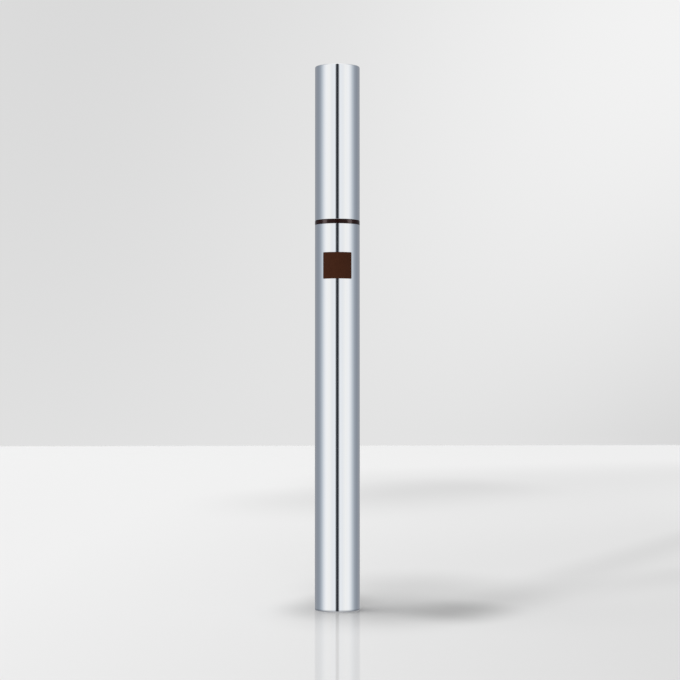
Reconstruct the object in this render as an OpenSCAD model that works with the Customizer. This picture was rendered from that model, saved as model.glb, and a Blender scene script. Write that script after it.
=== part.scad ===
// Liquid eyeliner pen with its cap on, standing on the closed end of its barrel.
// Two drawn metal shells cover it. Inside the barrel an ink tank with two mixing balls feeds a finned
// collector, whose porous core leads the ink to the fibre nib. The cap holds a sprung inner cap that
// seals over the nozzle. The origin is the centre of the base, and +Z runs up the axis of the pen.

/* [Shells] */
// Outside diameter of the barrel and of the cap
pen_d = 11; // [10.6:0.1:13]
// Length of the barrel shell
barrel_len = 94; // [85:0.05:110]
// Length of the cap shell
cap_len = 37.95; // [34:0.05:45]
// Wall of both drawn shells
shell_wall = 0.4; // [0.3:0.05:0.5]
// Thickness of their closed ends
shell_end = 0.5; // [0.4:0.05:0.8]
// Outer radius where a wall turns into a closed end
end_fillet = 0.3; // [0.25:0.05:0.7]
// Inner radius at the same place
inner_fillet = 0.2; // [0.1:0.05:0.3]
// Bevel of the open rims
rim_break = 0.1; // [0.05:0.01:0.2]

/* [Shade ring] */
// Height of the coloured band that shows between barrel and cap
ring_h = 1; // [0.8:0.05:2]
// Height of its inner lip, which the front section clamps
ring_lip_h = 0.5; // [0.3:0.05:0.7]
// Bevel of the band's outer edges
ring_break = 0.07; // [0.03:0.01:0.12]
// Gap between the band and the rim of the cap
cap_gap = 0.05; // [0.03:0.01:0.2]

/* [Shade label] */
// Width of the coloured label, measured round the barrel
label_w = 7.4; // [4:0.1:9]
// Height of the label
label_h = 6.45; // [4:0.05:12]
// Distance from its top edge to the barrel's rim
label_drop = 7; // [3:0.05:20]
// Thickness of the label
label_t = 0.05; // [0.03:0.01:0.1]

/* [Ink tank] */
// Wall round the ink chamber
tank_wall = 1.27; // [1.15:0.01:1.4]
// Wall round the spigot of the front section
tank_mouth_wall = 0.95; // [0.7:0.05:1.05]
// Bevel at the ends of the tank
tank_bevel = 0.2; // [0.1:0.05:0.4]
// Width of a glue groove
glue_w = 1.2; // [0.8:0.1:2]
// Depth of a glue groove
glue_depth = 0.15; // [0.1:0.05:0.25]
// Distance from each end of the tank to its outer glue groove
glue_inset = 5; // [3:0.5:12]
// Distance between the two grooves of a pair
glue_pitch = 3; // [2.2:0.1:5]
// Number of air channels along the outside
air_n = 2; // [1:1:4]
// Width of an air channel
air_w = 0.8; // [0.5:0.1:1.5]
// Depth of an air channel
air_depth = 0.2; // [0.1:0.05:0.3]

/* [Tail plug] */
// Height of the flange that the tank stands on
plug_flange_h = 1.1; // [0.8:0.1:2]
// Height of the plug above its flange
plug_len = 6.4; // [5:0.1:9]
// Wall round the hollow moulded into it from below
plug_wall = 1.2; // [0.8:0.1:1.6]
// Thickness of its roof
plug_roof = 1.2; // [0.8:0.1:2]
// How far the two sealing beads stand out of the plug
plug_bead = 0.15; // [0.1:0.05:0.25]
// Width of a sealing bead
plug_bead_w = 0.7; // [0.5:0.1:1]

/* [Mixing balls] */
// Diameter of a ball
ball_d = 3.2; // [2.6:0.1:3.3]
// Gap between the two balls where they lie side by side
ball_gap = 0.2; // [0.1:0.05:0.4]
// Gap between a ball and the tail plug
ball_rest_gap = 0.05; // [0.03:0.01:0.1]

/* [Front section] */
// Length of the spigot inside the tank
spigot_len = 25.8; // [20:0.1:32]
// Wall of the spigot
spigot_wall = 0.75; // [0.6:0.05:0.9]
// Length of the straight seat that the cap slides over
seat_len = 9.7; // [8:0.1:11]
// Height of the snap bead's middle above the foot of the seat
snap_rise = 3.2; // [2:0.1:5]
// Width of the snap bead
snap_w = 1; // [0.6:0.1:1.6]
// How far the snap bead stands out
snap_h = 0.03; // [0.02:0.01:0.04]
// Height and depth of the shoulder between seat and nozzle
shoulder = 0.55; // [0.4:0.05:0.8]
// Share of the front end, from the shoulder to the tip of the nib, that the nozzle takes
nozzle_share = 0.61; // [0.56:0.01:0.7]
// Outside diameter of the nozzle at its mouth
mouth_d = 3.5; // [3.2:0.1:4]
// Radius of the nozzle's outer and inner edge at the mouth
mouth_round = 0.3; // [0.15:0.05:0.4]
// Length of the cone that narrows the collector's chamber to the bore of the nib holder
chamber_cone = 2; // [1.5:0.1:3]
// Thickness of the nozzle's end wall round the nib
mouth_wall = 5.5; // [4:0.1:7]

/* [Collector] */
// Height of the collar clamped between tank and spigot
collar_h = 0.8; // [0.5:0.1:1.5]
// Height of the sealing land inside the spigot
land_h = 2.4; // [1.5:0.1:4]
// Distance from one fin to the next
fin_pitch = 0.8; // [0.7:0.05:1.5]
// Thickness of a fin
fin_t = 0.35; // [0.25:0.05:0.5]
// Gap between the fins and the wall of their chamber
fin_gap = 0.14; // [0.1:0.02:0.3]
// Diameter of the stem that carries the fins
stem_d = 3; // [2.6:0.1:3.6]
// Length of the collector's neck
neck_len = 4.2; // [3:0.1:5]
// Length of the neck that the nib holder's bore centres
neck_hold = 2.5; // [1.5:0.1:2.9]
// Width of the ink slit cut into the stem
feed_w = 0.3; // [0.2:0.05:0.4]
// Width of the air slot across the fins
vent_w = 0.9; // [0.5:0.1:1.5]
// How far the air slot cuts into the stem
vent_cut = 0.1; // [0.05:0.05:0.2]

/* [Nib and core] */
// Diameter of the fibre nib
nib_d = 1.8; // [1.6:0.1:2.1]
// Length of its tapered point
nib_point = 6; // [4:0.1:6.5]
// Radius of the very tip
nib_tip_r = 0.12; // [0.08:0.01:0.2]
// Outside diameter of the nib holder
holder_d = 3.8; // [3.4:0.1:4]
// Length of the nib holder
holder_len = 7.4; // [6:0.1:8]
// Length of the nib holder that grips the core
holder_grip = 2; // [1.5:0.1:3]
// Number of air flutes along the nib holder and the collector's neck
flute_n = 4; // [3:1:6]
// Radius of a flute
flute_r = 0.35; // [0.2:0.05:0.45]
// Diameter of the porous core
core_d = 1.6; // [1.4:0.1:1.8]
// Length of the core that reaches into the ink
core_dip = 3; // [1.5:0.5:8]

/* [Cap liner] */
// Wall of the liner where it slides over the seat
liner_wall = 0.6; // [0.5:0.05:0.7]
// How far the liner stands back from the rim of the shell
liner_recess = 0.3; // [0.1:0.1:1]
// Clearance above the seat
seat_head = 0.9; // [0.6:0.1:1.5]
// Length of the guide bore below the keeper bead
guide_lead = 3.4; // [2.5:0.1:4]
// Depth of the groove round the snap bead
snap_groove = 0.06; // [0.03:0.01:0.1]
// Thickness of the liner's roof
liner_roof = 1.05; // [0.8:0.05:1.5]
// Height of the ribs that hold the liner's upper part in the shell
rib_h = 0.5; // [0.3:0.05:0.6]
// Width of a rib
rib_w = 0.8; // [0.5:0.1:1.2]
// Number of ribs
rib_n = 8; // [4:1:12]
// Number of air grooves in the wide bore
liner_vent_n = 3; // [2:1:6]
// Width of an air groove
liner_vent_w = 1.2; // [0.6:0.1:2]
// Depth of an air groove
liner_vent_depth = 0.15; // [0.1:0.05:0.25]
// Height of the bead that keeps the inner cap in
keeper_h = 0.55; // [0.4:0.05:0.8]
// Height of the peg that centres the spring
peg_h = 1.5; // [1:0.1:1.8]

/* [Inner cap] */
// How far the inner cap reaches down over the nozzle
lip_overlap = 5.5; // [4.5:0.1:5.9]
// Wall of its lip
lip_wall = 0.35; // [0.25:0.05:0.5]
// Height of the cone that seals against the nozzle
seal_h = 2; // [1:0.1:2.5]
// Height of the lip below the flange
flange_rise = 1.5; // [1.3:0.1:1.9]
// Height of the flange
flange_h = 1.2; // [0.8:0.1:1.8]
// How far the flange stands out
flange_step = 0.3; // [0.2:0.05:0.4]
// Clearance above the nozzle's mouth
nozzle_head = 0.7; // [0.5:0.1:1.2]
// Thickness of the shoulder that carries the spring
spring_shoulder = 0.8; // [0.6:0.1:1.2]
// Gap round the nib
nib_gap = 0.5; // [0.3:0.05:0.6]
// Clearance above the nib
nib_head = 2.7; // [1:0.1:3]
// Room in which the inner cap can rise
inner_travel = 3.2; // [2:0.1:4]
// Wall of the tube round the nib
tube_wall = 0.8; // [0.5:0.05:0.9]
// Thickness of the tube's roof
tube_roof = 1; // [0.7:0.1:1.5]

/* [Spring] */
// Diameter of the spring wire
wire_d = 0.4; // [0.3:0.05:0.5]
// Number of turns
turns = 9; // [6:1:11]
// Gap between the coil and the tube inside it
coil_gap = 0.3; // [0.15:0.05:0.4]
// Gap between the spring's ends and what they bear on
spring_end_gap = 0.03; // [0.02:0.01:0.05]

/* [Fits] */
// Radial gap between pieces that are pressed or glued together
fit = 0.03; // [0.02:0.01:0.05]
// Radial gap between pieces that slide
slide_gap = 0.06; // [0.05:0.01:0.08]
// Gap between the inner cap and the nozzle's cone
seal_gap = 0.03; // [0.02:0.01:0.05]

/* [Hidden] */
$fn = 96;
// How far a cut runs past the surface that it opens
overrun = 1;

metal = "#c9ccd1";
shade = "#3f2418";
moulded_black = "#241f1d";
natural_plastic = "#e4e2da";
clear_plastic = "#d3dbe0";
white_plastic = "#f3f3ef";
steel = "#a8adb3";
ink_stain = "#33201a";

pen_r = pen_d / 2;
shell_bore_r = pen_r - shell_wall;
body_r = shell_bore_r - fit;

tank_z = shell_end + plug_flange_h;
tank_bore_r = body_r - tank_wall;
mouth_bore_r = body_r - tank_mouth_wall;
plug_top_z = tank_z + plug_len;
ball_r = ball_d / 2;

ring_z = barrel_len;
cap_z = ring_z + ring_h + cap_gap;
pen_len = cap_z + cap_len;
liner_z = cap_z + liner_recess;
liner_top_z = pen_len - shell_end;
roof_z = liner_top_z - liner_roof;

seat_z = ring_z + ring_lip_h;
spigot_z = seat_z - spigot_len;
step_z = spigot_z - collar_h;
spigot_r = mouth_bore_r - fit;
chamber_r = spigot_r - spigot_wall;
liner_bore_r = body_r - liner_wall;
seat_r = liner_bore_r - slide_gap;
seat_top_z = seat_z + seat_len;

nozzle_z = seat_top_z + shoulder;
tube_top_z = roof_z - peg_h - inner_travel;
nib_tip_z = tube_top_z - tube_roof - nib_head;
nozzle_len = nozzle_share * (nib_tip_z - nozzle_z);
nozzle_r = seat_r - shoulder;
mouth_z = nozzle_z + nozzle_len;
mouth_r = mouth_d / 2;

holder_r = holder_d / 2;
holder_bore_r = holder_r + fit;
holder_top_z = mouth_z - mouth_wall - fit;
holder_z = holder_top_z - holder_len;
neck_top_z = holder_z - fit;
chamber_top_z = neck_top_z - neck_hold - chamber_cone;
nib_r = nib_d / 2;
nib_z = holder_z + holder_grip;
core_r = core_d / 2;
core_z = step_z - core_dip;

lip_z = mouth_z - lip_overlap;
inner_cap_r = cone_r(lip_z) + seal_gap + lip_wall;
flange_z = lip_z + flange_rise;
flange_r = inner_cap_r + flange_step;
shoulder_z = mouth_z + nozzle_head + spring_shoulder;
tube_bore_r = nib_r + nib_gap;
tube_r = tube_bore_r + tube_wall;

guide_r = flange_r + slide_gap;
keeper_z = flange_z - seal_gap - keeper_h;
guide_z = keeper_z - guide_lead;
wide_top_z = seat_top_z + seat_head;

coil_r = tube_r + coil_gap + wire_d / 2;
coil_z = shoulder_z + spring_end_gap + wire_d / 2;
coil_top_z = roof_z - spring_end_gap - wire_d / 2;
coil_pitch = (coil_top_z - coil_z) / turns;

// Radius of the nozzle's cone at height z
function cone_r(z) = nozzle_r - (z - nozzle_z) / nozzle_len * (nozzle_r - mouth_r);

// Centre of the spring's wire after a number of turns
function coil_point(n) = [coil_r * cos(360 * n), coil_r * sin(360 * n), coil_z + coil_pitch * n];

// Half section of a rod of radius r from z = 0 to len, rounded at its foot and bevelled at its top
module rounded_rod(r, len, fillet, bevel) {
    polygon([[0, 0], [r - fillet, 0], [r - fillet, fillet], [r, fillet], [r, len - bevel],
        [r - bevel, len], [0, len]]);
    translate([r - fillet, fillet])
        circle(fillet);
}

// Drawn cup with its closed end at z = 0 and its open rim at z = len
module drawn_shell(len) {
    rotate_extrude()
        difference() {
            rounded_rod(pen_r, len, end_fillet, rim_break);
            translate([0, shell_end])
                rounded_rod(shell_bore_r, len, inner_fillet, 0);
        }
}

// Straight channels of width w along the axis, n of them round it, from radius r outwards
module channels(n, r, w, z, len) {
    for (i = [0:n - 1])
        rotate(i * 360 / n)
            translate([r, -w / 2, z])
                cube([pen_r, w, len]);
}

// Flutes along the outside of a bush that fits the nib holder's bore, from z upwards
module flutes(z, len) {
    for (i = [0:flute_n - 1])
        rotate(i * 360 / flute_n)
            translate([holder_r, 0, z])
                cylinder(h = len, r = flute_r);
}

module barrel_shell() {
    color(metal)
        drawn_shell(barrel_len);
}

module cap_shell() {
    color(metal)
        translate([0, 0, pen_len])
            mirror([0, 0, 1])
                drawn_shell(cap_len);
}

// Coloured label on the front of the barrel, at -Y
module shade_label() {
    turn = label_w / pen_r * 180 / PI;
    color(shade)
        translate([0, 0, barrel_len - label_drop - label_h])
            rotate(-90 - turn / 2)
                rotate_extrude(angle = turn)
                    translate([pen_r, 0])
                        square([label_t, label_h]);
}

// Band flush with both shells, with a lip inside that the seat of the front section presses down
module shade_ring() {
    lip_r = spigot_r + fit;
    band_r = seat_r + fit;
    color(shade)
        translate([0, 0, ring_z])
            rotate_extrude()
                polygon([[lip_r, 0], [pen_r - ring_break, 0], [pen_r, ring_break],
                    [pen_r, ring_h - ring_break], [pen_r - ring_break, ring_h], [band_r, ring_h],
                    [band_r, ring_lip_h], [lip_r, ring_lip_h]]);
}

// Moulded tube open at both ends, wider at the mouth, with glue grooves and air channels outside
module ink_tank() {
    color(clear_plastic)
        difference() {
            rotate_extrude()
                polygon([[tank_bore_r, tank_z], [body_r - tank_bevel, tank_z],
                    [body_r, tank_z + tank_bevel], [body_r, ring_z - tank_bevel],
                    [body_r - tank_bevel, ring_z], [mouth_bore_r, ring_z],
                    [mouth_bore_r, step_z], [tank_bore_r, step_z]]);
            for (z = [tank_z + glue_inset, tank_z + glue_inset + glue_pitch,
                    ring_z - glue_inset - glue_w, ring_z - glue_inset - glue_w - glue_pitch])
                translate([0, 0, z])
                    rotate_extrude()
                        translate([body_r - glue_depth, 0])
                            square([glue_depth + overrun, glue_w]);
            channels(air_n, body_r - air_depth, air_w, tank_z - overrun, ring_z - tank_z + 2 * overrun);
        }
}

// Hollow stopper with two sealing beads, on which the tank stands
module tail_plug() {
    bead_r = tank_bore_r - fit;
    plug_r = bead_r - plug_bead;
    hollow_r = plug_r - plug_wall;
    flange_edge = inner_fillet + fit;
    low_bead_z = tank_z + plug_bead_w;
    high_bead_z = plug_top_z - 3 * plug_bead_w;
    color(natural_plastic)
        rotate_extrude()
            polygon([[0, plug_top_z - plug_roof], [hollow_r, plug_top_z - plug_roof],
                [hollow_r, shell_end], [body_r - flange_edge, shell_end],
                [body_r, shell_end + flange_edge], [body_r, tank_z], [plug_r, tank_z],
                [plug_r, low_bead_z], [bead_r, low_bead_z + plug_bead],
                [bead_r, low_bead_z + plug_bead_w - plug_bead], [plug_r, low_bead_z + plug_bead_w],
                [plug_r, high_bead_z], [bead_r, high_bead_z + plug_bead],
                [bead_r, high_bead_z + plug_bead_w - plug_bead], [plug_r, high_bead_z + plug_bead_w],
                [plug_r, plug_top_z - plug_bead], [plug_r - plug_bead, plug_top_z], [0, plug_top_z]]);
}

// Steel ball at one side of the axis: side is -1 or 1
module mixing_ball(side) {
    color(steel)
        translate([side * (ball_r + ball_gap / 2), 0, plug_top_z + ball_rest_gap + ball_r])
            sphere(ball_r);
}

// Spigot, seat, shoulder and nozzle in one moulding, hollow for the collector and the nib holder
module front_section() {
    snap_z = seat_z + snap_rise - snap_w / 2;
    bore_r = nib_r + slide_gap;
    lean = atan((nozzle_r - mouth_r) / nozzle_len);
    round_z = mouth_z - mouth_round;
    round_r = cone_r(round_z) - mouth_round / cos(lean);
    color(moulded_black)
        rotate_extrude() {
            polygon([[spigot_r, spigot_z], [spigot_r, seat_z], [seat_r, seat_z], [seat_r, snap_z],
                [seat_r + snap_h, snap_z + snap_w / 4], [seat_r + snap_h, snap_z + snap_w * 3 / 4],
                [seat_r, snap_z + snap_w], [seat_r, seat_top_z], [nozzle_r, nozzle_z],
                [round_r + mouth_round * cos(lean), round_z + mouth_round * sin(lean)],
                [round_r, round_z], [round_r, mouth_z],
                [bore_r, mouth_z], [bore_r, mouth_z - mouth_wall],
                [holder_bore_r, mouth_z - mouth_wall], [holder_bore_r, chamber_top_z + chamber_cone],
                [chamber_r, chamber_top_z], [chamber_r, spigot_z]]);
            translate([round_r, round_z])
                circle(mouth_round);
        }
}

// Finned ink buffer: a clamped collar, a sealing land, the comb of fins and a centring neck
module collector() {
    land_r = chamber_r - fit;
    fin_r = chamber_r - fin_gap;
    stem_r = stem_d / 2;
    bore_r = core_r + fit;
    neck_z = neck_top_z - neck_len;
    land_top_z = spigot_z + land_h;
    comb_z = land_top_z + fin_pitch - fin_t;
    fin_count = floor((min(neck_z, chamber_top_z) - comb_z) / fin_pitch);
    slit_len = comb_z + fin_count * fin_pitch - land_top_z;
    comb = [for (i = [0:fin_count - 1], p = [[stem_r, 0], [fin_r, 0], [fin_r, fin_t], [stem_r, fin_t]])
        [p[0], p[1] + comb_z + i * fin_pitch]];
    color(white_plastic)
        difference() {
            rotate_extrude()
                polygon(concat(
                    [[bore_r, step_z], [spigot_r, step_z], [spigot_r, spigot_z], [land_r, spigot_z],
                        [land_r, land_top_z], [stem_r, land_top_z]],
                    comb,
                    [[stem_r, neck_z], [holder_r, neck_z], [holder_r, neck_top_z],
                        [bore_r, neck_top_z]]));
            channels(1, 0, feed_w, land_top_z, slit_len);
            rotate(180)
                channels(1, stem_r - vent_cut, vent_w, land_top_z, slit_len);
            flutes(neck_z - overrun, neck_len + 2 * overrun);
        }
}

// Porous rod from the ink chamber to the back of the nib
module relay_core() {
    color(ink_stain)
        translate([0, 0, core_z])
            cylinder(h = nib_z - core_z, r = core_r);
}

// Bush that centres the nib on the core, with flutes that let air pass
module nib_holder() {
    color(white_plastic)
        difference() {
            rotate_extrude()
                polygon([[core_r + fit, holder_z], [holder_r, holder_z], [holder_r, holder_top_z],
                    [nib_r + fit, holder_top_z], [nib_r + fit, nib_z], [core_r + fit, nib_z]]);
            flutes(holder_z - overrun, holder_len + 2 * overrun);
        }
}

// Round fibre tip whose point follows a curve down to a small rounded end
module fibre_nib() {
    point_z = nib_tip_z - nib_point;
    steps = 8;
    curve_power = 1.35;
    point = [for (i = [0:steps]) let (t = i / steps)
        [nib_r + (nib_tip_r - nib_r) * pow(t, curve_power), point_z + t * (nib_point - nib_tip_r)]];
    color(ink_stain) {
        rotate_extrude()
            polygon(concat([[0, nib_z], [nib_r, nib_z]], point, [[0, nib_tip_z - nib_tip_r]]));
        translate([0, 0, nib_tip_z - nib_tip_r])
            sphere(nib_tip_r);
    }
}

// Moulded lining of the cap: wide bore over the seat, cone, guide bore with a keeper bead, closed roof
module cap_liner() {
    narrow_r = body_r - rib_h;
    groove_z = seat_z + snap_rise - snap_w;
    keeper_r = inner_cap_r + slide_gap;
    keeper_slope = guide_r - keeper_r;
    roof_edge = inner_fillet + fit;
    color(natural_plastic) {
        difference() {
            rotate_extrude()
                polygon([[liner_bore_r, liner_z], [body_r, liner_z], [body_r, guide_z],
                    [narrow_r, guide_z + rib_h], [narrow_r, roof_z],
                    [body_r, roof_z + rib_h], [body_r, liner_top_z - roof_edge],
                    [body_r - roof_edge, liner_top_z], [0, liner_top_z], [0, roof_z - peg_h],
                    [tube_r, roof_z - peg_h], [tube_r, roof_z], [guide_r, roof_z],
                    [guide_r, keeper_z + keeper_h], [keeper_r, keeper_z + keeper_h],
                    [keeper_r, keeper_z + keeper_slope], [guide_r, keeper_z],
                    [guide_r, guide_z], [liner_bore_r, wide_top_z],
                    [liner_bore_r, groove_z + 2 * snap_w],
                    [liner_bore_r + snap_groove, groove_z + 3 / 2 * snap_w],
                    [liner_bore_r + snap_groove, groove_z + snap_w / 2],
                    [liner_bore_r, groove_z]]);
            translate([0, 0, liner_z - overrun])
                intersection() {
                    channels(liner_vent_n, 0, liner_vent_w, 0, wide_top_z - liner_z + overrun);
                    cylinder(h = wide_top_z - liner_z + overrun, r = liner_bore_r + liner_vent_depth);
                }
        }
        difference() {
            intersection() {
                channels(rib_n, 0, rib_w, guide_z, roof_z + rib_h - guide_z);
                cylinder(h = pen_len, r = body_r);
            }
            cylinder(h = pen_len, r = (guide_r + narrow_r) / 2);
        }
    }
}

// Soft cup that slides in the liner: sealing lip, keeper flange, spring shoulder and closed nib tube
module inner_cap() {
    seal_top_z = lip_z + seal_h;
    relief_r = cone_r(seal_top_z) + seal_gap;
    color(white_plastic)
        rotate_extrude()
            polygon([[cone_r(lip_z) + seal_gap, lip_z], [inner_cap_r, lip_z],
                [inner_cap_r, flange_z], [flange_r, flange_z], [flange_r, flange_z + flange_h],
                [inner_cap_r, flange_z + flange_h], [inner_cap_r, shoulder_z], [tube_r, shoulder_z],
                [tube_r, tube_top_z], [0, tube_top_z], [0, tube_top_z - tube_roof],
                [tube_bore_r, tube_top_z - tube_roof], [tube_bore_r, shoulder_z - spring_shoulder],
                [relief_r, shoulder_z - spring_shoulder], [relief_r, seal_top_z]]);
}

// Compression spring: one six-sided wire swept along a helix of eight rings a turn
module inner_cap_spring() {
    sides = 6;
    turn_rings = 8;
    rings = turn_rings * turns;
    centres = [for (i = [0:rings]) coil_point(i / turn_rings)];
    // The wire's points round ring i, square to the helix there
    function ring_points(i) =
        let (a = 360 * i / turn_rings, out = [cos(a), sin(a), 0],
            along = [-sin(a) * 2 * PI * coil_r, cos(a) * 2 * PI * coil_r, coil_pitch],
            up = cross(along, out) / norm(along))
        [for (k = [0:sides - 1]) let (b = 360 * k / sides)
            centres[i] + wire_d / 2 * (cos(b) * out + sin(b) * up)];
    points = [for (i = [0:rings], p = ring_points(i)) p];
    quads = [for (i = [0:rings - 1], k = [0:sides - 1]) let (n = (k + 1) % sides)
        [i * sides + k, i * sides + n, (i + 1) * sides + n, (i + 1) * sides + k]];
    faces = concat([for (q = quads, half = [[q[0], q[2], q[1]], [q[0], q[3], q[2]]]) half],
        [[for (k = [0:sides - 1]) k]],
        [[for (k = [sides - 1:-1:0]) rings * sides + k]]);
    near = [for (i = [0:rings], j = [i + turn_rings - 2:i + turn_rings + 2]) if (j <= rings)
        norm(centres[j] - centres[i])];
    echo(least_gap_between_turns = min(near) - wire_d);
    color(steel)
        polyhedron(points = points, faces = faces, convexity = 10);
}

barrel_shell();
shade_label();
shade_ring();
ink_tank();
tail_plug();
mixing_ball(-1);  // mixing_ball_1
mixing_ball(1);  // mixing_ball_2
front_section();
collector();
relay_core();
nib_holder();
fibre_nib();
cap_shell();
cap_liner();
inner_cap();
inner_cap_spring();
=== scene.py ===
"""Looks of the liquid eyeliner pen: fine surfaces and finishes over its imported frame.

Everything is in metres and in the frame of the CAD: +Z up the pen, -Y to the front, where the label is.
"""
import math

import bmesh
import bpy
import numpy as np
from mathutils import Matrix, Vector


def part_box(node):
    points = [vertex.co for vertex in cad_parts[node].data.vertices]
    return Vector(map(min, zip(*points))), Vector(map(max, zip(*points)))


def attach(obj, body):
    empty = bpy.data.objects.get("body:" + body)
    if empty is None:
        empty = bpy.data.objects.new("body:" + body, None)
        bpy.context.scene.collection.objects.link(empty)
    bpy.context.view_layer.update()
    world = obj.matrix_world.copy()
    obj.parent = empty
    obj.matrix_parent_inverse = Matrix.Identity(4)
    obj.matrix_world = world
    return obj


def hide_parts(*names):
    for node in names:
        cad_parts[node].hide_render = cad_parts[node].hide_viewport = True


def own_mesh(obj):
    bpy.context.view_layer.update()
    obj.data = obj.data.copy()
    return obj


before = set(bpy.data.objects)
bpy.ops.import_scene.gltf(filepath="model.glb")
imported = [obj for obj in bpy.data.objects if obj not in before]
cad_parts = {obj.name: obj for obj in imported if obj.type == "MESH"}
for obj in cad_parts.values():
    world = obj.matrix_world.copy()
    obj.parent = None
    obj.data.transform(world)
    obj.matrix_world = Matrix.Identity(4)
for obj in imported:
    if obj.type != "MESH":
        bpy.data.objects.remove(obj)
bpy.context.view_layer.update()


# ---- Sizes that the frame gives ----

def foot(node):
    """Lowest height of a CAD node."""
    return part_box(node)[0].z


def top(node):
    """Highest height of a CAD node."""
    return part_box(node)[1].z


def reach(node):
    """Largest radius of a CAD node that is round about the axis."""
    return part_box(node)[1].x


RING_FOOT = foot("shade_ring")
RING_TOP = top("shade_ring")
CAP_RIM = foot("cap_shell")
PEN_TOP = top("cap_shell")
PEN_R = reach("barrel_shell")
LINER_FOOT = foot("cap_liner")
LINER_TOP = top("cap_liner")
BODY_R = reach("tail_plug")
TANK_FOOT = foot("ink_tank")
PLUG_FOOT = foot("tail_plug")
PLUG_TOP = top("tail_plug")
SPIGOT_FOOT = foot("front_section")
MOUTH = top("front_section")
COLLECTOR_FOOT = foot("collector")
NECK_TOP = top("collector")
CORE_FOOT = foot("relay_core")
HOLDER_FOOT = foot("nib_holder")
HOLDER_TOP = top("nib_holder")
NIB_FOOT = foot("fibre_nib")
NIB_TIP = top("fibre_nib")
LIP = foot("inner_cap")
TUBE_TOP = top("inner_cap")
SPRING_FOOT = foot("inner_cap_spring")
SPRING_TOP = top("inner_cap_spring")

# ---- Sizes that the frame's boxes don't give ----

# Shells, edges and fits
SHELL_WALL = 0.0004
SHELL_END = 0.0005
END_FILLET = 0.0003
BORE_FILLET = 0.0002
RIM_ROUND = 0.00009
FINE_ROUND = 0.00004
SOFT_ROUND = 0.0001
BROAD_ROUND = 0.0002
HOLLOW_ROUND = 0.0003
PRESS_GAP = 0.00003
SLIDE_GAP = 0.00006

# Label
LABEL_WIDTH = 0.0074
LABEL_THICKNESS = 0.00005
LABEL_CORNER = 0.0002
LABEL_CIRCLE = 1.6

# Rows of the label's edge, in thicknesses: how far each lies behind the face and how far it is drawn in
LABEL_EDGE = ((0.2, 0.45), (0.5, 0.0), (1.0, 0.0))

# Ring and front section
RING_EDGE = 0.00007
LIP_HEIGHT = 0.0005
SEAT_FOOT = RING_FOOT + LIP_HEIGHT
SEAT_R = 0.00441
SPIGOT_R = 0.00409
SNAP_FOOT = SEAT_FOOT + 0.0027
SNAP_WIDTH = 0.001
SNAP_HEIGHT = 0.00003
SEAT_TOP = SEAT_FOOT + 0.0097
SHOULDER = 0.00055
SHOULDER_ROUND = 0.00015
NOZZLE_ROUND = 0.00012
NOZZLE_R = SEAT_R - SHOULDER
NOZZLE_FOOT = SEAT_TOP + SHOULDER
MOUTH_R = 0.00175
MOUTH_ROUND = 0.0003
MOUTH_WALL = 0.0055
CHAMBER_R = 0.00334
CHAMBER_TOP = NECK_TOP - 0.0045
CHAMBER_CONE = 0.002

# Ink tank
TANK_BORE_R = 0.0038
TANK_MOUTH_R = SPIGOT_R + PRESS_GAP
GLUE_WIDTH = 0.0012
GLUE_DEPTH = 0.00015
GLUE_INSET = 0.005
GLUE_PITCH = 0.003
CHANNEL_WIDTH = 0.0008
CHANNEL_DEPTH = 0.0002

# Tail plug and mixing balls
PLUG_BEAD = 0.00015
PLUG_BEAD_WIDTH = 0.0007
PLUG_WALL = 0.0012
PLUG_ROOF = 0.0012
BALL_R = 0.0016
BALL_SIDE = 0.0017
BALL_HEIGHT = PLUG_TOP + 0.00165

# Collector
LAND_HEIGHT = 0.0024
FIN_PITCH = 0.0008
FIN_WIDTH = 0.00035
FIN_R = 0.0032
STEM_R = 0.0015
NECK_LENGTH = 0.0042
FEED_WIDTH = 0.0003
VENT_WIDTH = 0.0009
VENT_CUT = 0.0001

# Core, nib holder and nib
CORE_R = 0.0008
HOLDER_R = 0.0019
FLUTES = 4
FLUTE_R = 0.00035
NIB_R = 0.0009
NIB_POINT = 0.006
NIB_TIP_R = 0.00012
NIB_TAPER = 1.35

# Cap liner. Its air grooves end within GROOVE_END of the wide bore's top.
LINER_BORE_R = SEAT_R + SLIDE_GAP
GROOVE_FOOT = SEAT_FOOT + 0.0022
GROOVE_DEPTH = 0.00006
WIDE_TOP = SEAT_TOP + 0.0009
NARROW_R = BODY_R - 0.0005
RIB_HEIGHT = 0.0005
RIB_WIDTH = 0.0008
RIBS = 8
VENTS = 3
LINER_VENT_WIDTH = 0.0012
LINER_VENT_DEPTH = 0.00015
GROOVE_END = 0.00002
KEEPER_HEIGHT = 0.00055
PEG_HEIGHT = 0.0015

# Inner cap
SEAL_HEIGHT = 0.002
SEAL_GAP = 0.00003
LIP_WALL = 0.00035
FLANGE_FOOT = LIP + 0.0015
FLANGE_HEIGHT = 0.0012
FLANGE_STEP = 0.0003
CUP_ROOM = 0.0007
CUP_SHOULDER = 0.0008
TUBE_R = 0.0022
TUBE_BORE_R = 0.0014
TUBE_ROOF = 0.001

# Spring
SPRING_END_GAP = 0.00003
ROOF = SPRING_TOP + SPRING_END_GAP
WIRE_R = 0.0002
SPRING_R = 0.0027
SPRING_TURNS = 9

# Where the inner cap, its keeper bead and its guide bore come to lie
CONE_DROP = (NOZZLE_R - MOUTH_R) / (MOUTH - NOZZLE_FOOT)
CUP_R = NOZZLE_R - CONE_DROP * (LIP - NOZZLE_FOOT) + SEAL_GAP + LIP_WALL
KEEPER_FOOT = FLANGE_FOOT - SEAL_GAP - KEEPER_HEIGHT
GUIDE_R = CUP_R + FLANGE_STEP + SLIDE_GAP
GUIDE_FOOT = KEEPER_FOOT - 0.0034

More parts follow.
